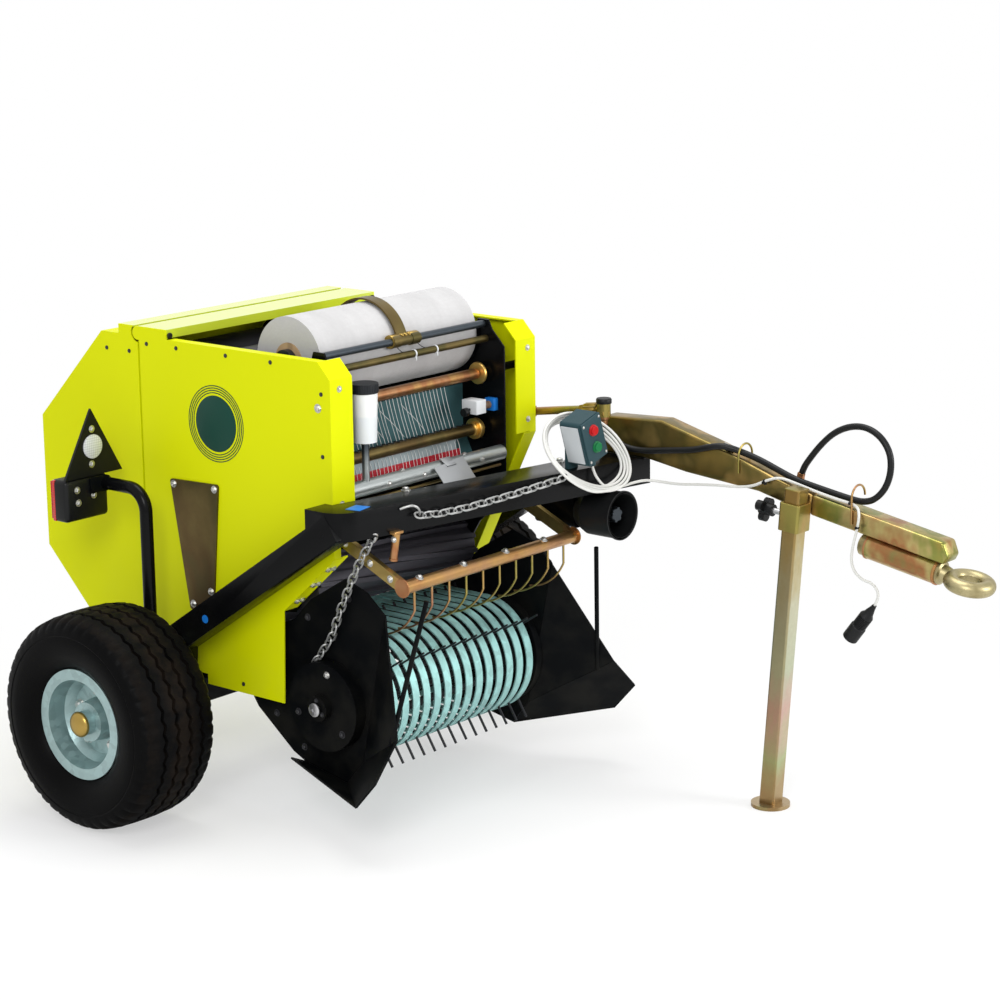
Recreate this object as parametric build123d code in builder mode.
from build123d import *
import os
from math import atan2, cos, degrees, hypot, pi, radians, sin

# Small towed round baler, standing on its two wheels and its parking jack.
# Millimetres. +X is the towing direction, +Y the machine's left, +Z up, floor at Z = 0.
# Every x below is counted from the wheel axle, and every height is the one with the axle at axle_z.
# The origin is on the ground under the middle of the machine, so the planes side(), across() and
# level() put the axle where that middle needs it, and a larger tyre lifts all but the wheels.

# ---------------------------------------------------------------- driving dimensions
# width of the bale chamber
wall_right_y = -282.0
wall_left_y = 232.0

# wheels
tyre_r = 232.5
axle_z = 232.5
tyre_width = 212.0
rim_r = 103.0
rim_lip_r = 119.0
rim_half_width = 84.0
hub_bore_r = 20.0
spindle_gap = 0.05

# side covers, an octagon with a lobe at its lower front corner
sheet = 3.0
drive_gap = 95.0
cover_half = wall_left_y + drive_gap
cover_rear_x = -467.0
cover_front_x = 430.0
cover_top_z = 996.0
cover_low_z = 248.0
split_x = -135.0
split_gap = 6.0
front_flange = 66.0
standoff_r = 9.0
axle_notch = 40.0

# bale chamber: side walls, roller circle
wall_t = 4.0
chamber_x = -93.0
chamber_z = 622.0
roller_circle_r = 318.0
roller_r = 36.0
roller_shaft_r = 12.0
starter_x = 285.0
starter_z = 490.0
starter_r = 58.0

# frame
beam = 60.0
arm_gap = 23.0
arm_half = cover_half + arm_gap + beam / 2
tyre_gap = 63.0
track_half = arm_half + beam / 2 + tyre_gap + tyre_width / 2
cross_z = 680.0
cross_near = (500.0, -290.0)
cross_far = (655.0, 330.0)

# drawbar on the left side
draw_width = 50.0
draw_y = arm_half + 27.0
eye_x = 1491.0
couple_x = eye_x - 363.0
couple_z = 690.0
box_h = 44.0
box_len = 318.0
tube_r = 27.0
eye_tube_r = 16.0
eye_ring_r = 38.0
eye_bore_r = 24.0
shank_r = 20.0
neck_r = 14.0
coupling_tilt = -10.0

# jack
jack_lean = 4.7
jack_tube = 38.0
jack_y = draw_y - 50.0
jack_foot_x = couple_x - 80.0
jack_length = 706.0
sleeve_from = 618.0
sleeve_len = 60.0
foot_r = 42.0
foot_t = 8.0

# pick-up
reel_x = 385.0
reel_z = 262.0
band_r = 130.0
band_t = 3.0
band_width = 20.0
tine_r = 2.0
tine_tip_r = 172.0
tine_pitch = 34.0
tine_bar_circle_r = 60.0
leg_x = 192.0
low_bar_x = 214.0
low_bar_z = 190.0
pickup_mid_y = (wall_right_y + wall_left_y) / 2
pickup_pivot_x = 130.0
pickup_pivot_z = 330.0
plate_t = 5.0
plate_gap = 7.0

# wind guard
guard_pivot_x = 398.0
guard_pivot_z = 636.0
guard_bar_x = 595.0
guard_bar_z = 548.0
guard_bar_r = 14.0
guard_shaft_r = 10.0
guard_arm_t = 12.0
guard_arm_h = 26.0

# net wrap
roll_x = 256.0
roll_z = 975.0
roll_r = 93.0
core_r = 38.0
net_spindle_r = 25.0
grey_rod_angle = 11.3
grey_rod_gap = 14.0
gold_rod_angle = -5.5
gold_rod_gap = 20.5
feed_roller = (360.0, 888.0)
guide_tube = (350.0, 763.0)
front_tube = (408.0, 714.0)
front_tube_r = 17.0
jar_x = front_tube[0] + 2
jar_y = wall_right_y + 77
jar_z = 812.0
jar_h = 104.0

# power take-off
pto_y = wall_left_y + 78.0
pto_z = 595.0
pto_r = 17.45
bell_r = 52.0

# rear door hinge
door_x = -141.0
door_z = 1002.0
door_rod_r = 6.0
door_ear_r = 15.0
door_gap = 5.0
lid_back = -200.0
lid_front = -51.0
lid_top = 1017.0

running = 0.3
rear_x = cover_rear_x
eye_outer_r = eye_ring_r + eye_tube_r
axle_x = -(eye_x + eye_outer_r + rear_x) / 2
lift = tyre_r - axle_z

os.makedirs("parts", exist_ok=True)


# ---------------------------------------------------------------- planes and small helpers
def side(y):
    """Upright plane along the machine: sketch x is x from the axle, sketch y is height."""
    return Plane(origin=(axle_x, y, lift), x_dir=(1, 0, 0), z_dir=(0, -1, 0))


def across(x):
    """Upright plane across the machine: sketch x is Y, sketch y is height."""
    return Plane(origin=(axle_x + x, 0, lift), x_dir=(0, 1, 0), z_dir=(1, 0, 0))


def level(z):
    """Flat plane: sketch x is x from the axle, sketch y is Y."""
    return Plane(origin=(axle_x, 0, z + lift), x_dir=(1, 0, 0), z_dir=(0, 0, 1))


def at(x, y, z):
    return (axle_x + x, y, z + lift)


def save(builder, label):
    builder.part.label = label
    export_step(builder.part, f"parts/{label}.step")


def bar(x, z, y0, y1, r, bore=0.0, mode=Mode.ADD):
    """Round bar or tube across the machine from y0 to y1, added to the part being built."""
    with BuildSketch(side(y1)) as ring:
        with Locations((x, z)):
            Circle(r)
            if bore:
                Circle(bore, mode=Mode.SUBTRACT)
    extrude(ring.sketch, amount=y1 - y0, mode=mode)


def plate(points, y0, y1, corner=0.0, mode=Mode.ADD):
    """Flat plate between y0 and y1 with a straight-sided outline and one corner radius."""
    with BuildSketch(side(y1)) as outline:
        with BuildLine():
            Polyline(*points, close=True)
        make_face()
        if corner:
            fillet(outline.vertices(), corner)
    extrude(outline.sketch, amount=y1 - y0, mode=mode)


def strip(p, q, y0, y1, t=sheet):
    """Thin flange along the edge p-q, to the right of its direction, between y0 and y1."""
    length = hypot(q[0] - p[0], q[1] - p[1])
    nx, nz = (q[1] - p[1]) / length * t, -(q[0] - p[0]) / length * t
    plate([p, q, (q[0] + nx, q[1] + nz), (p[0] + nx, p[1] + nz)], y0, y1)


def turned(x, z, angle, r):
    return (x + r * cos(radians(angle)), z + r * sin(radians(angle)))


grey_rod = turned(roll_x, roll_z, grey_rod_angle, roll_r + grey_rod_gap)
gold_rod = turned(roll_x, roll_z, gold_rod_angle, roll_r + gold_rod_gap)

# ---------------------------------------------------------------- wheels and axle
for name, hand in (("right", -1), ("left", 1)):
    wheel_y = hand * track_half
    hub_axis = Axis((axle_x, 0, tyre_r), (0, 1, 0))

    def turn(points):
        """Revolve a half section about the axle: w outboard from the wheel centre, r from the axle."""
        with BuildSketch(Plane(origin=(axle_x, wheel_y, tyre_r), x_dir=(0, hand, 0),
                               z_dir=(hand, 0, 0))) as half:
            with BuildLine():
                Polyline(*points, close=True)
            make_face()
        revolve(half.sketch, axis=hub_axis)

    with BuildPart() as tyre:
        half = tyre_width / 2
        seat = rim_r + running
        bead = rim_half_width - 6
        with BuildSketch(Plane(origin=(axle_x, wheel_y, tyre_r), x_dir=(0, hand, 0),
                               z_dir=(hand, 0, 0))):
            with BuildLine():
                Line((-bead, seat), (bead, seat))
                Line((bead, seat), (bead, rim_lip_r + 6))
                ThreePointArc((bead, rim_lip_r + 6), (half, 176), (half - 14, tyre_r - 16))
                ThreePointArc((half - 14, tyre_r - 16), (half - 22, tyre_r - 8), (half - 34, tyre_r - 5))
                ThreePointArc((half - 34, tyre_r - 5), (0, tyre_r), (34 - half, tyre_r - 5))
                ThreePointArc((34 - half, tyre_r - 5), (22 - half, tyre_r - 8), (14 - half, tyre_r - 16))
                ThreePointArc((14 - half, tyre_r - 16), (-half, 176), (-bead, rim_lip_r + 6))
                Line((-bead, rim_lip_r + 6), (-bead, seat))
            make_face()
        revolve(axis=hub_axis)
    save(tyre, f"tyre_{name}")

    with BuildPart() as rim:
        lip = rim_half_width
        turn([(-lip, rim_r - 7), (-lip, rim_lip_r), (-lip + 5, rim_lip_r),
                       (-lip + 5, rim_r), (lip - 5, rim_r), (lip - 5, rim_lip_r), (lip, rim_lip_r),
                       (lip, rim_r - 7), (44, rim_r - 12), (26, rim_r - 26), (24, 46), (60, 42),
                       (60, hub_bore_r), (-60, hub_bore_r), (-60, 42), (16, 46), (16, rim_r - 26),
                       (10, rim_r - 7)])
        turn([(60 - 1, 0), (60 - 1, 26), (80, 26), (84, 22), (84, 13), (90, 12), (90, 0)])
    save(rim, f"rim_{name}")

with BuildPart() as axle:
    stub_y = track_half - 62
    with BuildSketch(side(stub_y)):
        with Locations((0, axle_z)):
            RectangleRounded(beam, beam, 6)
    extrude(amount=2 * stub_y)
    for hand in (-1, 1):
        inner, outer = hand * stub_y, hand * (track_half + 58)
        bar(0, axle_z, min(inner, outer), max(inner, outer), hub_bore_r - spindle_gap)
save(axle, "axle")

# ---------------------------------------------------------------- main frame
with BuildPart() as main_frame:
    for arm_y, reach in ((-arm_half, cross_near[0]), (arm_half, cross_far[0] - 20)):
        with BuildSketch(side(arm_y + beam / 2)):
            with BuildLine() as centre:
                FilletPolyline((-60, 308), (400, 612), (reach, cross_z), radius=[150])
            trace(line_width=beam)
        extrude(amount=beam)
        # seat on the axle
        seat_z = axle_z + beam / 2
        plate([(-beam / 2, seat_z), (-60, 300), (40, 366), (beam / 2, seat_z)],
              arm_y - beam / 2, arm_y + beam / 2)
    with BuildSketch(level(cross_z - beam / 2)) as plan:
        with BuildLine():
            Polyline((cross_near[0] - 70, -arm_half - beam / 2), (cross_near[0] + 25, -arm_half - beam / 2),
                     (cross_far[0] + 30, arm_half + beam / 2), (cross_far[0] - 70, arm_half + beam / 2),
                     (cross_near[0] - 50, -arm_half + beam / 2), (cross_near[0] - 70, -arm_half + beam / 2),
                     close=True)
        make_face()
        fillet(plan.vertices().sort_by(Axis.Y)[:2].sort_by(Axis.X)[-1], 60)
    extrude(amount=beam)
save(main_frame, "main_frame")

# ---------------------------------------------------------------- covers and chamber walls
rear_top = (cover_rear_x + 211, cover_top_z)
rear_high = (cover_rear_x, cover_top_z - 212)
rear_low = (cover_rear_x, 484.0)
rear_foot = (cover_rear_x + 236, cover_low_z)
front_top = (cover_front_x - 33, cover_top_z)
front_high = (cover_front_x, cover_top_z - 35)
lobe_top = (279.0, 452.0)
lobe_foot = (272.0, cover_low_z)

for name, hand, front_low_z, flange_foot_z in (("right", -1, 586.0, 668.0), ("left", 1, 749.0, 752.0)):
    outer = hand * cover_half
    inner = hand * (cover_half - sheet)
    low, high = min(outer, inner), max(outer, inner)
    front_low = (cover_front_x, front_low_z)

    def lip(depth):
        """Y range of a flange that turns in from this cover by depth."""
        turned_in = hand * (cover_half - depth)
        return min(outer, turned_in), max(outer, turned_in)

    with BuildPart() as cover:
        with BuildSketch(side(high)) as outline:
            with BuildLine():
                Polyline((split_x, door_z), (split_x, lid_top), (lid_front, lid_top), (lid_front, cover_top_z),
                         front_top, front_high, front_low, lobe_top, lobe_foot, (split_x, cover_low_z),
                         close=True)
            make_face()
            with Locations((door_x, door_z)):
                Circle(door_ear_r)
            lobe = outline.vertices().sort_by_distance(side(high).from_local_coords((*lobe_foot, 0)))[0]
            fillet(lobe, 55)
        extrude(amount=sheet)
        strip(front_high, (cover_front_x, flange_foot_z), *lip(front_flange))
        strip(front_top, front_high, *lip(front_flange))
        strip((cover_front_x, flange_foot_z), front_low, *lip(20))
        strip(front_low, lobe_top, *lip(cover_half + wall_right_y - wall_t - running))
        strip((lid_front + 4, cover_top_z), front_top, *lip(24))
        # notch over the axle
        plate([(-axle_notch, 0), (-axle_notch, seat_z + 8), (axle_notch, seat_z + 8), (axle_notch, 0)],
              min(outer, inner) - 1, max(outer, inner) + 1, mode=Mode.SUBTRACT)
    save(cover, f"cover_{name}")

    with BuildPart() as wall:
        face = wall_right_y if hand < 0 else wall_left_y
        low, high = min(face, face + hand * wall_t), max(face, face + hand * wall_t)
        plate([(split_x, 985), (338, 985), (346, 1006), (376, 1006), (386, 985), (420, 950), (420, 616),
               (345, 550), (275, 440), (205, 430), (165, 385), (165, 296), (60, 296),
               (48, seat_z + running), (-48, seat_z + running), (-60, 296), (split_x, 296)], low, high)
        # stand-offs that carry the side cover
        cover_face = hand * (cover_half - sheet - running)
        for x, z in ((-110, 930), (395, 900), (-110, 340), (70, 440)):
            bar(x, z, min(face, cover_face), max(face, cover_face), standoff_r)
        bar(guard_pivot_x, guard_pivot_z, low - 1, high + 1, guard_shaft_r + spindle_gap, mode=Mode.SUBTRACT)
        # stub that the pick-up swings on
        reach = face + hand * (wall_t + plate_gap + plate_t + 4)
        bar(pickup_pivot_x, pickup_pivot_z, min(face, reach), max(face, reach), 12)
    save(wall, f"chamber_wall_{name}")

# Rear door: its two side sheets and the skin that wraps round the back of the bale.
back = split_x - split_gap
wrap = [(back, cover_top_z), rear_top, rear_high, rear_low, rear_foot, (back, cover_low_z)]
inside = cover_half - sheet
ear_r = door_ear_r + door_gap
ear_x = door_x - (ear_r ** 2 - (lid_top - door_z) ** 2) ** 0.5
with BuildPart() as tailgate:
    for hand in (-1, 1):
        y0, y1 = sorted((hand * cover_half, hand * inside))
        with BuildSketch(side(y1)) as outline:
            with BuildLine():
                Polyline((back, door_z - ear_r), (back, cover_low_z), rear_foot, rear_low, rear_high, rear_top,
                         (lid_back, cover_top_z), (lid_back, lid_top), (ear_x, lid_top))
                ThreePointArc((ear_x, lid_top), turned(door_x, door_z, 200, ear_r), (back, door_z - ear_r))
            make_face()
        extrude(amount=sheet)
    skin = [(back - 31, cover_top_z)] + wrap[1:]
    for p, q in zip(skin[:-1], skin[1:]):
        strip(q, p, -inside, inside)
save(tailgate, "tailgate")

with BuildPart() as tailgate_walls:
    for face, hand in ((wall_right_y, -1), (wall_left_y, 1)):
        y0, y1 = sorted((face, face + hand * wall_t))
        with BuildSketch(side(y1)) as outline:
            with BuildLine():
                Polyline(*wrap, close=True)
            make_face()
            offset(amount=-sheet - running, kind=Kind.INTERSECTION)
        extrude(amount=wall_t)
save(tailgate_walls, "tailgate_walls")

# Raised top cover over the hinge, one half fixed and one half on the door.
with BuildPart() as top_cover_front:
    plate([(door_x, lid_top), (lid_front, lid_top), (lid_front, cover_top_z + 2),
           (lid_front - sheet, cover_top_z + 2), (lid_front - sheet, lid_top - sheet),
           (door_x, lid_top - sheet)], -inside, inside)
save(top_cover_front, "top_cover_front")
with BuildPart() as top_cover_rear:
    plate([(lid_back, cover_top_z), (lid_back, lid_top), (ear_x, lid_top), (ear_x, lid_top - sheet),
           (lid_back + sheet, lid_top - sheet), (lid_back + sheet, cover_top_z)], -inside, inside)
save(top_cover_rear, "top_cover_rear")

with BuildPart() as door_hinges:
    for hand in (-1, 1):
        y0, y1 = sorted((hand * (inside - 14), hand * (inside - 8)))
        with BuildSketch(side(y1)) as arm:
            with BuildLine():
                Polyline((door_x + 8, door_z - 4), (door_x - 20, door_z), (back - 44, door_z - 42),
                         (back - 44, door_z - 90), (back - 8, door_z - 90), (back - 6, door_z - 22),
                         close=True)
            make_face()
            with Locations((door_x, door_z)):
                Circle(9)
                Circle(door_rod_r + spindle_gap, mode=Mode.SUBTRACT)
        extrude(amount=6)
        y0, y1 = sorted((hand * (inside - 8), hand * inside))
        for x, z in ((back - 24, door_z - 78), (back - 30, door_z - 44)):
            bar(x, z, y0, y1, 9)
save(door_hinges, "door_hinges")

# Rods that lie between the side walls or covers and never meet each other.
with BuildPart() as cross_rods:
    bar(door_x, door_z, -inside + running, inside - running, door_rod_r)
    bar(*grey_rod, wall_right_y, wall_left_y, 8)
    bar(roll_x, roll_z, wall_right_y, wall_left_y, net_spindle_r)
    reach = wall_t + 5 + guard_arm_t + 4
    bar(guard_pivot_x, guard_pivot_z, wall_right_y - reach, wall_left_y + reach, guard_shaft_r)
    # front tube with the oil jar's fitting
    bar(*front_tube, wall_right_y, wall_left_y, front_tube_r)
    with BuildSketch(level(front_tube[1])):
        with Locations((jar_x, jar_y)):
            Circle(8)
    extrude(amount=jar_z - front_tube[1])
save(cross_rods, "cross_rods")

# ---------------------------------------------------------------- chamber rollers
def chamber_roller(angle):
    x, z = turned(chamber_x, chamber_z, angle, roller_circle_r)
    bar(x, z, wall_right_y + 4, wall_left_y - 4, roller_r)
    bar(x, z, wall_right_y + running, wall_left_y - running, roller_shaft_r)


with BuildPart() as front_rollers:
    for angle in (72, 36, -70):
        chamber_roller(angle)
save(front_rollers, "front_rollers")
with BuildPart() as rear_rollers:
    for angle in (118, 149, 180, 211, 242):
        chamber_roller(angle)
save(rear_rollers, "rear_rollers")

with BuildPart() as starter_roller:
    bar(starter_x, starter_z, wall_right_y + 5, wall_left_y - 5, starter_r)
    bar(starter_x, starter_z, wall_right_y + running, wall_left_y - running, roller_shaft_r)
save(starter_roller, "starter_roller")

# ---------------------------------------------------------------- net wrap
with BuildPart() as net_roll:
    bar(roll_x, roll_z, wall_right_y + 16, wall_left_y - 8, roll_r, core_r + running)
save(net_roll, "net_roll")
with BuildPart() as net_core:
    bar(roll_x, roll_z, wall_right_y + 14, wall_left_y - 6, core_r, net_spindle_r + spindle_gap)
save(net_core, "net_core")

with BuildPart() as net_arm:
    arm_y, arm_w = pickup_mid_y, 32.0
    inner_r, outer_r, arm_from, arm_to = roll_r + 6, roll_r + 10, 9, 128
    bar(*grey_rod, arm_y - 42, arm_y - arm_w / 2, 13, 8 + spindle_gap)
    bar(*grey_rod, arm_y + arm_w / 2, arm_y + 42, 13, 8 + spindle_gap)
    bar(*grey_rod, arm_y - arm_w / 2, arm_y + arm_w / 2, 12, 8 + spindle_gap)
    with BuildSketch(side(arm_y + arm_w / 2)):
        with BuildLine():
            CenterArc((roll_x, roll_z), inner_r, arm_from, arm_to - arm_from)
            CenterArc((roll_x, roll_z), outer_r, arm_from, arm_to - arm_from)
            for angle in (arm_from, arm_to):
                Line(turned(roll_x, roll_z, angle, inner_r), turned(roll_x, roll_z, angle, outer_r))
        make_face()
    extrude(amount=arm_w)
    bar(*grey_rod, arm_y - 42, arm_y + 42, 8 + spindle_gap, mode=Mode.SUBTRACT)
save(net_arm, "net_arm")

with BuildPart() as net_feed_roller:
    bar(*feed_roller, wall_right_y + 6, wall_left_y - 26, 20)
    bar(*feed_roller, wall_right_y + running, wall_left_y - running, 8)
    bar(*feed_roller, wall_left_y - 20, wall_left_y - 14, 24)
save(net_feed_roller, "net_feed_roller")

# Plated guide tube and rod across the front of the net box.
with BuildPart() as net_tubes:
    bar(*gold_rod, wall_right_y, wall_left_y, 8)
    bar(*guide_tube, wall_right_y, wall_left_y - 24, 13)
    bar(*guide_tube, wall_left_y - 24, wall_left_y - 12, 23)
    bar(*guide_tube, wall_left_y - 12, wall_left_y, 8)
save(net_tubes, "net_tubes")

with BuildPart() as net_sheet:
    plate([(324, 700), (296, 756), (296, 856), (299, 856), (299, 757), (327, 701)], wall_right_y, wall_left_y)
save(net_sheet, "net_sheet")

with BuildPart() as red_strip:
    plate([(334, 690), (334, 712), (340, 712), (340, 690)], wall_right_y, wall_left_y - 60)
save(red_strip, "red_strip")

with BuildPart() as blank_plate:
    hang_z = front_tube[1] - front_tube_r
    plate([(front_tube[0] + 4, hang_z - 5), (front_tube[0] + 4, hang_z - 68), (front_tube[0] + 6, hang_z - 68),
           (front_tube[0] + 6, hang_z - 5)], -12, 88)
    plate([(front_tube[0] - 6, hang_z), (front_tube[0] + 6, hang_z), (front_tube[0] + 6, hang_z - 5),
           (front_tube[0] - 6, hang_z - 5)], 16, 60)
save(blank_plate, "blank_plate")

with BuildPart() as oil_jar:
    with BuildSketch(Plane(origin=at(jar_x, jar_y, jar_z), x_dir=(1, 0, 0), z_dir=(0, -1, 0))):
        with BuildLine():
            Polyline((0, 0), (25, 0), (28, 96), (28, jar_h), (0, jar_h), close=True)
        make_face()
    revolve(axis=Axis(at(jar_x, jar_y, 0), (0, 0, 1)))
save(oil_jar, "oil_jar")
with BuildPart() as oil_jar_lid:
    with BuildSketch(level(jar_z + jar_h)):
        with Locations((jar_x, jar_y)):
            Circle(30)
    extrude(amount=20)
save(oil_jar_lid, "oil_jar_lid")
with BuildPart() as net_sensor:
    plate([(354, 806), (354, 836), (396, 836), (396, 806)], wall_left_y - 66, wall_left_y - 34)
    bar(388, 821, wall_left_y - 34, wall_left_y - 14, 6)
    plate([(376, 808), (376, 834), (400, 834), (400, 808)], wall_left_y - 14, wall_left_y)
save(net_sensor, "net_sensor")

# ---------------------------------------------------------------- pick-up
right = wall_right_y - wall_t - plate_gap
left = wall_left_y + wall_t + plate_gap
reach = (left - right) / 2


def facet(points, t):
    """Flat sheet t thick whose middle plane passes through the first three points."""
    a, b, c = (Vector(*p) for p in points[:3])
    normal = (b - a).cross(c - a).normalized()
    plane = Plane(origin=a, x_dir=(b - a).normalized(), z_dir=normal)
    local = [plane.to_local_coords(Vector(*p)) for p in points]
    with BuildSketch(plane) as sheet_face:
        with BuildLine():
            Polyline(*[(v.X, v.Y) for v in local], close=True)
        make_face()
    extrude(sheet_face.sketch, amount=t / 2, both=True)


# The dividers: an upright plate whose lower front corner folds out in three flat facets.
fold_top, fold_low, toe, heel = (540.0, 478.0), (470.0, 150.0), (425.0, 92.0), (300.0, 118.0)
for name, hand, face in (("right", -1, right), ("left", 1, left)):
    def out(x, d, z):
        """Point at distance d outboard of the plate's inner face."""
        return at(x, face + hand * d, z)

    with BuildPart() as divider:
        y0, y1 = sorted((face, face + hand * plate_t))
        with BuildSketch(side(y1)) as outline:
            with BuildLine():
                Polyline((105, 300), (105, 360), (150, 380), (279, 428), (330, 480), (430, 540),
                         (490, 520), fold_top, fold_low, toe, heel, (266, 134), (164, 214), close=True)
            make_face()
            with Locations((pickup_pivot_x, pickup_pivot_z)):
                Circle(12 + spindle_gap, mode=Mode.SUBTRACT)
            with Locations((reel_x, reel_z)):
                Circle(15 + 0.08, mode=Mode.SUBTRACT)
        extrude(amount=plate_t)
        mid = plate_t / 2
        knee, tip, skid = out(644, 88, 255), out(648, 160, 182), out(592, 158, 120)
        top, low = out(fold_top[0], mid, fold_top[1]), out(fold_low[0], mid, fold_low[1])
        front, back_end = out(toe[0], mid, toe[1]), out(heel[0], mid, heel[1])
        facet([top, knee, low], plate_t - 1)
        facet([low, knee, tip, skid, front], plate_t - 1)
        facet([front, skid, out(288, 36, 131), back_end], plate_t - 1)
        # upright rod on the fold, off its front end
        foot, knee_top = Vector(*out(610, 72, 232)), Vector(*out(659, 8, 532))
        with BuildSketch(Plane(origin=foot, z_dir=(knee_top - foot).normalized())):
            Circle(5)
        extrude(amount=(knee_top - foot).length)
        # drum end that the stripper bands finish against
        y0, y1 = sorted((face, face - hand * 18))
        bar(reel_x, reel_z, y0, y1, band_r - 5, band_r - 12)
    save(divider, f"divider_{name}")

tine_rows = int((left - right - 58) / tine_pitch) + 1
first = pickup_mid_y - tine_pitch * (tine_rows - 1) / 2
with BuildPart() as stripper_bands:
    band_mid = band_r - band_t / 2
    for row in range(tine_rows - 1):
        mid = first + tine_pitch * (row + 0.5)
        with BuildSketch(side(mid + band_width / 2)):
            with BuildLine():
                Line((leg_x, reel_z + band_mid), (reel_x, reel_z + band_mid))
                CenterArc((reel_x, reel_z), band_mid, 90, -180)
                Line((reel_x, reel_z - band_mid), (low_bar_x + 70, reel_z - band_mid))
                Line((low_bar_x + 70, reel_z - band_mid), (low_bar_x, low_bar_z))
            trace(line_width=band_t)
        extrude(amount=band_width)
    # rails that carry the band ends, behind the sweep of the tines
    bar(leg_x, reel_z + band_r - 12, right, left, 10)
    bar(low_bar_x, low_bar_z, right, left, 8)
save(stripper_bands, "stripper_bands")

with BuildPart() as tine_reel:
    bar(reel_x, reel_z, right - plate_t - 12, left + plate_t + 12, 15)
    for k in range(4):
        angle = 45 + 90 * k
        x, z = turned(reel_x, reel_z, angle, tine_bar_circle_r)
        bar(x, z, right + 26, left - 26, 9)
        tip = turned(reel_x, reel_z, angle - 8, tine_tip_r)
        length = hypot(tip[0] - x, tip[1] - z)
        lean = degrees(atan2(tip[1] - z, tip[0] - x))
        for row in range(tine_rows):
            y = first + tine_pitch * row
            with BuildSketch(side(y + tine_r)):
                with Locations(Location(((x + tip[0]) / 2, (z + tip[1]) / 2), lean)):
                    Rectangle(length, 2 * tine_r)
            extrude(amount=2 * tine_r)
    for y in (right + 20, left - 26):
        bar(reel_x, reel_z, y, y + 6, tine_bar_circle_r + 14)
save(tine_reel, "tine_reel")

with BuildPart() as reel_guard:
    outer = right - plate_t
    bar(reel_x, reel_z, outer - 30, outer, 96, 88)
    bar(reel_x, reel_z, outer - 30, outer - 26, 92)
    bar(reel_x, reel_z, outer - 48, outer - 30, 27)
    bar(reel_x, reel_z, outer - 56, outer - 48, 14)
save(reel_guard, "reel_guard")

# ---------------------------------------------------------------- wind guard
guard_right, guard_left = wall_right_y - wall_t - 5, wall_left_y + wall_t + 5
with BuildPart() as wind_guard:
    bar(guard_bar_x, guard_bar_z, guard_right - guard_arm_t, guard_left + guard_arm_t, guard_bar_r)
    dx, dz = guard_bar_x - guard_pivot_x, guard_bar_z - guard_pivot_z
    for y0 in (guard_right - guard_arm_t, guard_left):
        with BuildSketch(side(y0 + guard_arm_t)):
            with Locations(Location((guard_pivot_x + dx / 2, guard_pivot_z + dz / 2), degrees(atan2(dz, dx)))):
                RectangleRounded(hypot(dx, dz) + guard_arm_h, guard_arm_h, 8)
            with Locations((guard_pivot_x, guard_pivot_z)):
                Circle(guard_shaft_r + spindle_gap, mode=Mode.SUBTRACT)
        extrude(amount=guard_arm_t)
save(wind_guard, "wind_guard")

with BuildPart() as wind_guard_tines:
    count, wire_r, inset = 10, 2.5, 24
    start_z = guard_bar_z - guard_bar_r - running
    for k in range(count):
        y = guard_right + inset + k * (guard_left - guard_right - 2 * inset) / (count - 1)
        with BuildLine(side(y)) as wire:
            straight = Line((guard_bar_x, start_z), (guard_bar_x, start_z - 40))
            ThreePointArc(straight @ 1, (561, 452), (500, 428))
        with BuildSketch(Plane(origin=straight @ 0, z_dir=straight % 0)):
            Circle(wire_r)
        sweep(path=wire.wires()[0])
save(wind_guard_tines, "wind_guard_tines")

# ---------------------------------------------------------------- drawbar
lean = radians(coupling_tilt)


def on_coupling(s, n):
    """Point s along the coupling and n above its top face, as x and z."""
    return (couple_x + s * cos(lean) - n * sin(lean), couple_z + s * sin(lean) + n * cos(lean))


with BuildPart() as drawbar:
    seat = cross_z + beam / 2 + running
    plate([(545, seat), (575, 792), (735, 800), (880, 762), (couple_x - 56, 700), on_coupling(0, 0),
           on_coupling(0, -box_h), (couple_x - 78, 664), (couple_x - 138, 678), (800, 694), (695, seat)],
          draw_y - draw_width / 2, draw_y + draw_width / 2)
save(drawbar, "drawbar")

with BuildPart() as coupling_box:
    plate([on_coupling(running, 0), on_coupling(box_len, 0), on_coupling(box_len + 16, -26),
           on_coupling(box_len + 10, -box_h), on_coupling(running, -box_h)],
          draw_y - draw_width / 2, draw_y + draw_width / 2)
save(coupling_box, "coupling_box")

along = Vector(cos(lean), 0, sin(lean))
axis_n = -box_h - tube_r
tube_from, tube_len = 140.0, 170.0
tube_x, tube_z = on_coupling(tube_from, axis_n)
tube_plane = Plane(origin=at(tube_x, draw_y, tube_z), x_dir=(0, 1, 0), z_dir=along)
with BuildPart() as coupling_tube:
    with BuildSketch(tube_plane):
        Circle(tube_r)
        Circle(shank_r + spindle_gap, mode=Mode.SUBTRACT)
    extrude(amount=tube_len)
save(coupling_tube, "coupling_tube")

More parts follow.
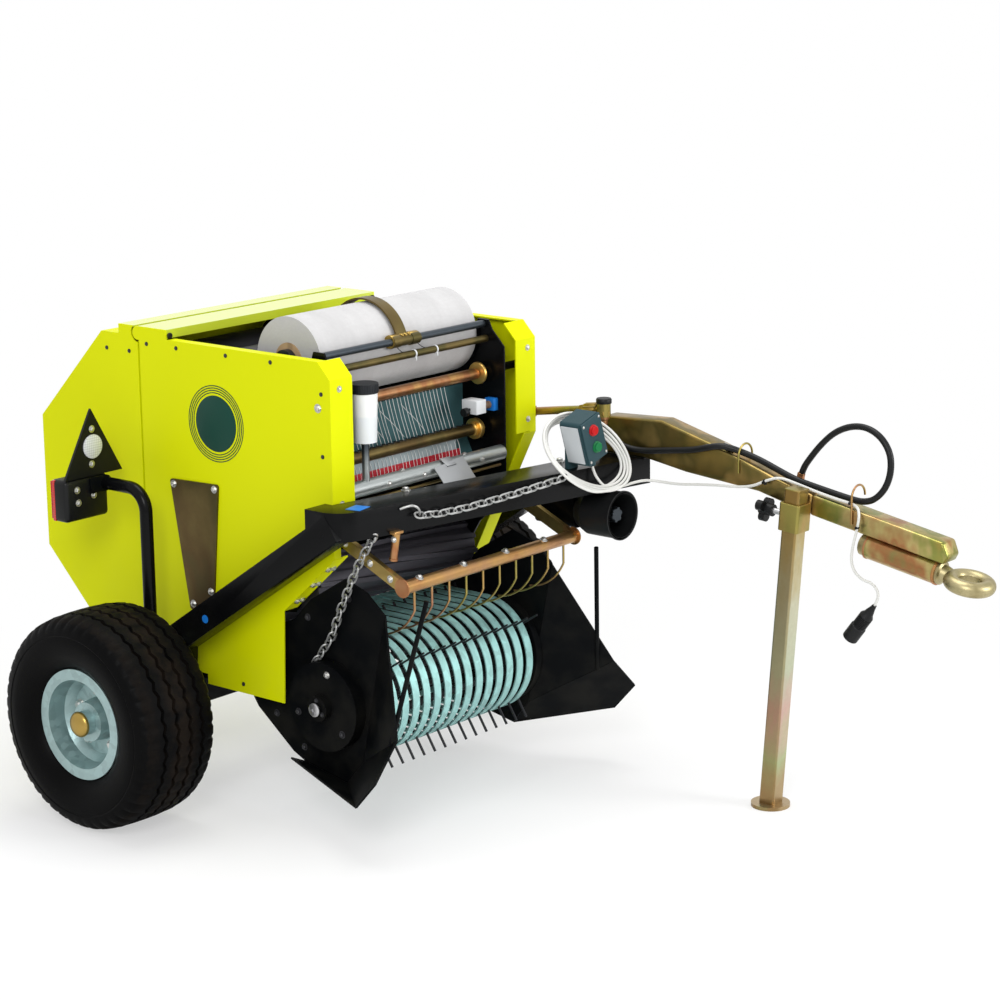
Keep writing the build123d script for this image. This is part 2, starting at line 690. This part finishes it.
eye_s = (eye_x - tube_x) / cos(lean)
ring_mid = tube_plane.offset(eye_s).origin
ring_up = Vector(-sin(lean), 0, cos(lean))
with BuildPart() as tow_eye:
    # shank with its retaining collar behind the tube, its shoulder in front and its taper into the ring
    with BuildSketch(Plane(origin=tube_plane.origin, x_dir=along, z_dir=(0, -1, 0))):
        with BuildLine():
            Polyline((-16, 0), (-16, tube_r - 5), (-14, tube_r - 3), (-running, tube_r - 3), (-running, shank_r),
                     (tube_len + running, shank_r), (tube_len + running, tube_r - 2),
                     (tube_len + 7, tube_r - 2), (tube_len + 10, shank_r),
                     (eye_s - eye_ring_r, neck_r), (eye_s - eye_ring_r, 0), close=True)
        make_face()
    revolve(axis=Axis(tube_plane.origin, along))
    # round ring with a flat land inside it for the hitch pin
    land = (eye_tube_r ** 2 - (eye_ring_r - eye_bore_r) ** 2) ** 0.5
    with BuildSketch(Plane(origin=ring_mid, x_dir=(0, 1, 0), z_dir=along)):
        with BuildLine():
            Line((eye_bore_r, -land), (eye_bore_r, land))
            ThreePointArc((eye_bore_r, land), (eye_outer_r, 0), (eye_bore_r, -land))
        make_face()
    revolve(axis=Axis(ring_mid, ring_up))
save(tow_eye, "tow_eye")

# ---------------------------------------------------------------- jack
up = Vector(sin(radians(jack_lean)), 0, cos(radians(jack_lean)))
jack_foot = Vector(*at(jack_foot_x, jack_y, -lift))
with BuildPart() as jack_leg:
    with BuildSketch(Plane(origin=jack_foot)):
        Circle(foot_r)
    extrude(amount=foot_t)
    with BuildSketch(Plane(origin=jack_foot + up * 6, x_dir=(0, 1, 0), z_dir=up)):
        RectangleRounded(jack_tube, jack_tube, 5)
    extrude(amount=jack_length + lift - 6)
save(jack_leg, "jack_leg")

sleeve = jack_tube + 12
with BuildPart() as jack_sleeve:
    with BuildSketch(Plane(origin=jack_foot + up * (sleeve_from + lift), x_dir=(0, 1, 0), z_dir=up)):
        RectangleRounded(sleeve, sleeve, 6)
        RectangleRounded(jack_tube + 1, jack_tube + 1, 5, mode=Mode.SUBTRACT)
    extrude(amount=sleeve_len)
save(jack_sleeve, "jack_sleeve")

# Three-lobed knob whose screw clamps the leg in its sleeve.
back_way = Vector(-cos(radians(jack_lean)), 0, sin(radians(jack_lean)))
knob_at = jack_foot + up * (sleeve_from + lift + sleeve_len / 2) + back_way * (sleeve / 2)
with BuildPart() as jack_knob:
    with BuildSketch(Plane(origin=knob_at, z_dir=back_way)):
        Circle(6)
    extrude(amount=30)
    with BuildSketch(Plane(origin=knob_at + back_way * 28, z_dir=back_way)):
        Circle(13)
    extrude(amount=26)
    with BuildSketch(Plane(origin=knob_at + back_way * 44, z_dir=back_way)):
        Circle(14)
        with PolarLocations(17, 3):
            Circle(11)
    extrude(amount=15)
save(jack_knob, "jack_knob")

# ---------------------------------------------------------------- power take-off
gear_half = 38.0
with BuildPart() as gearbox:
    with BuildSketch(across(470)):
        with Locations((pto_y, pto_z)):
            RectangleRounded(2 * gear_half, 2 * gear_half, 14)
    extrude(amount=110)
    with BuildSketch(across(560)):
        with Locations((pto_y, pto_z + gear_half)):
            Rectangle(40, 2 * (cross_z - beam / 2 - pto_z - gear_half))
    extrude(amount=20)
save(gearbox, "gearbox")

with BuildPart() as pto_bell:
    with BuildSketch(Plane(origin=at(580, pto_y, pto_z), x_dir=(1, 0, 0), z_dir=(0, -1, 0))):
        with BuildLine():
            Polyline((0, 24), (0, 40), (26, bell_r), (106, bell_r), (106, bell_r - 3), (28, bell_r - 3),
                     (4, 38), (4, 24), close=True)
        make_face()
    revolve(axis=Axis(at(0, pto_y, pto_z), (1, 0, 0)))
save(pto_bell, "pto_bell")

with BuildPart() as pto_shaft:
    with BuildSketch(across(580 + running)):
        with Locations((pto_y, pto_z)):
            Circle(pto_r)
    extrude(amount=92)
save(pto_shaft, "pto_shaft")

# ---------------------------------------------------------------- lamps and brackets
post_y, post_r = arm_half + 52, 14.0
with BuildPart() as lamp_posts:
    for hand in (-1, 1):
        y = hand * post_y
        with BuildLine() as bend:
            FilletPolyline(at(-20, y, axle_z + beam / 2), at(-20, y, 690.5), at(-149.5, y, 690), radius=[48])
        with BuildSketch(Plane(origin=bend.line @ 0, z_dir=(0, 0, 1))):
            Circle(post_r)
        sweep(path=bend.wires()[0])
save(lamp_posts, "lamp_posts")

lamp_top = 710.0
with BuildPart() as lamps:
    for hand in (-1, 1):
        y0, y1 = sorted((hand * (post_y - 12), hand * (post_y + 108)))
        plate([(-200, lamp_top - 92), (-200, lamp_top), (-150, lamp_top), (-150, lamp_top - 92)], y0, y1)
save(lamps, "lamps")

with BuildPart() as triangles:
    for hand in (-1, 1):
        with BuildSketch(across(-156)):
            with BuildLine():
                Polyline((hand * (post_y - 54), lamp_top + running), (hand * (post_y + 108), lamp_top + running),
                         (hand * (post_y + 28), lamp_top + 146), close=True)
            make_face()
        extrude(amount=6)
save(triangles, "triangles")

# ---------------------------------------------------------------- side plates and hydraulic pipe
plate_depth = 4.0
with BuildPart() as side_plates:
    for hand in (-1, 1):
        y0, y1 = sorted((hand * cover_half, hand * (cover_half + plate_depth)))
        plate([(-52, 694), (97, 699), (73, 449), (-2, 407)], y0, y1, corner=6)
save(side_plates, "side_plates")

pipe_y = cover_half + 18.0
with BuildPart() as hydraulic_pipe:
    with BuildLine() as run:
        FilletPolyline(at(400, pipe_y, 786), at(485, pipe_y, 799), at(597, pipe_y, 815), radius=[60])
    with BuildSketch(Plane(origin=run.line @ 0, z_dir=run.line % 0)):
        Circle(9)
    sweep(path=run.wires()[0])
    # saddle that holds the pipe off the cover
    plate([(402, 775), (402, 798), (418, 801), (418, 777)], cover_half, pipe_y)
    # swivel nut and elbow
    nut = Plane(origin=at(560, pipe_y, 809.7), z_dir=(112, 0, 16))
    with BuildSketch(nut):
        RegularPolygon(15, 6)
    extrude(amount=34)
    with BuildSketch(level(800)):
        with Locations((608, pipe_y)):
            Circle(15)
    extrude(amount=36)
save(hydraulic_pipe, "hydraulic_pipe")

# ---------------------------------------------------------------- control box
box_y, box_z = wall_left_y - 16.0, 780.0
box_lean = 18.0
box_w, box_tall, box_deep, box_back = 70.0, 102.0, 54.0, 626.0
beam_top = cross_z + beam / 2
with BuildPart() as control_box:
    with BuildSketch(across(box_back)):
        with Locations(Location((box_y, box_z), box_lean)):
            RectangleRounded(box_w, box_tall, 8)
    extrude(amount=box_deep)
    # bracket down to the crossbeam
    with BuildSketch(across(box_back - 12)):
        with Locations((box_y, (beam_top + 792) / 2)):
            Rectangle(30, 792 - beam_top)
    extrude(amount=12)
    # cable gland
    down = Vector(0, sin(radians(box_lean)), -cos(radians(box_lean)))
    gland_from = Vector(*at(box_back + 34, box_y, box_z)) + down * (box_tall / 2 - 1)
    with BuildSketch(Plane(origin=gland_from, z_dir=down)):
        Circle(9)
    extrude(amount=15)
save(control_box, "control_box")

# ---------------------------------------------------------------- cable, hose and their hooks
drawbar_near = draw_y - draw_width / 2
cable_r, hose_r = 3.0, 7.0


def route(points, r):
    """Round cord of radius r along a hand-set route, each arc as large as its two runs allow."""
    runs = [(Vector(*b) - Vector(*a)) for a, b in zip(points[:-1], points[1:])]
    radii = []
    for before, after in zip(runs[:-1], runs[1:]):
        half_turn = radians(before.get_angle(after)) / 2
        radii.append(0.45 * min(before.length, after.length) / (sin(half_turn) / cos(half_turn)))
    with BuildLine() as path:
        FilletPolyline(*[at(*p) for p in points], radius=radii)
    with BuildSketch(Plane(origin=path.line @ 0, z_dir=path.line % 0)) as section:
        Circle(r)
    sweep(section.sketch, path=path.wires()[0])
    print("smallest arc", round(min(radii)), "of a cord", 2 * r, "thick, length", round(path.wires()[0].length))


# The spare cable hangs round the control box in an oval hank, behind the box above and before the beam below.
hank_mid = Vector(*at(646, box_y + 19, 742))
hank_plane = Plane(origin=hank_mid, x_dir=Vector(0.42, 0.86, -0.5), z_dir=Vector(1, -0.195, 0.452))
hank_a, hank_b, hank_t = 112.0, 74.0, 15.0
with BuildPart() as cable_hank:
    with BuildSketch(hank_plane.offset(-hank_t / 2)):
        Ellipse(hank_a + hank_t / 2, hank_b + hank_t / 2)
        Ellipse(hank_a - hank_t / 2, hank_b - hank_t / 2, mode=Mode.SUBTRACT)
    extrude(amount=hank_t)
save(cable_hank, "cable_hank")

# From the gland to the hank, and from the hank along the drawbar and down to the plug.
gland_end = (box_back + 34, 236.3, 717.5)
tail_points = [gland_end, (661, 240.5, 704), (668, 247, 691), (676, 255, 682), (683, 262.7, 672)]
cable_points = [(690.7, 331.8, 685), (707, 351, 675), (738, 367, 668), (785, 373, 667), (840, 375, 674),
                (895, 374, 680), (945, 374, 683), (985, 372, 691), (1015, 371, 706), (1046, 379, 718),
                (1085, 388, 707), (1135, 389, 696), (1185, 388, 688), (1218, 388, 684), (1240, 382, 680),
                (1249, 373, 663), (1246, 370, 636), (1237, 370, 602), (1232, 370, 570), (1241, 370, 545),
                (1262, 370, 531), (1284, 370, 529), (1300, 370, 514), (1299, 370, 492), (1285, 370, 473)]
with BuildPart() as cable_run:
    route(tail_points, cable_r)
    route(cable_points, cable_r)
save(cable_run, "cable_run")

plug_at = Vector(*at(*cable_points[-1]))
plug_way = (plug_at - Vector(*at(*cable_points[-2]))).normalized()
with BuildPart() as cable_plug:
    with BuildSketch(Plane(origin=plug_at, x_dir=plug_way, z_dir=plug_way.cross(Vector(0, 1, 0)))):
        with BuildLine():
            Polyline((0, 0), (0, 9), (12, 10), (20, 15), (50, 15), (52, 17), (87, 17), (87, 0), close=True)
        make_face()
    revolve(axis=Axis(plug_at, plug_way))
save(cable_plug, "cable_plug")

hose_points = [(608, pipe_y, 799.2), (609, 345, 778), (621, 349, 757), (643, 358, 739), (672, 366, 731),
               (706, 371, 731), (745, 372, 737), (790, 373, 743), (835, 373, 750), (875, 372, 762),
               (905, 381, 766), (942, 399, 753), (985, 402, 741), (1030, 401, 726), (1072, 401, 712),
               (1115, 402, 704), (1160, 404, 696), (1205, 404, 689), (1238, 404, 686), (1266, 405, 695),
               (1290, 407, 722), (1300, 410, 757), (1296, 413, 795), (1271, 416, 826), (1234, 419, 841),
               (1194, 421, 838), (1154, 422, 820), (1121, 423, 790), (1094, 423, 757), (1077, 423, 733),
               (1070, 423, 711.5)]
with BuildPart() as feed_hose:
    route(hose_points, hose_r)
save(feed_hose, "feed_hose")

wire_r, hook_r = 2.3, 25.0
hook_y = drawbar_near - wire_r - running
with BuildPart() as cable_hooks:
    for x, foot_z, turn_z in ((942, 712, 747), (1226, 642, 696)):
        with BuildLine() as wire:
            Polyline(at(x, hook_y, foot_z), at(x, hook_y, turn_z))
            ThreePointArc(at(x, hook_y, turn_z), at(x, hook_y + hook_r, turn_z + hook_r),
                          at(x, hook_y + 2 * hook_r, turn_z))
        with BuildSketch(Plane(origin=at(x, hook_y, foot_z), z_dir=(0, 0, 1))):
            Circle(wire_r)
        sweep(path=wire.wires()[0])
    # ferrule that the hose ends in, on top of the drawbar
    with BuildSketch(level(hose_points[-1][2] - 2.8)):
        with Locations((hose_points[-1][0] - 1, hose_points[-1][1])):
            Circle(8)
    extrude(amount=-4.5)
save(cable_hooks, "cable_hooks")
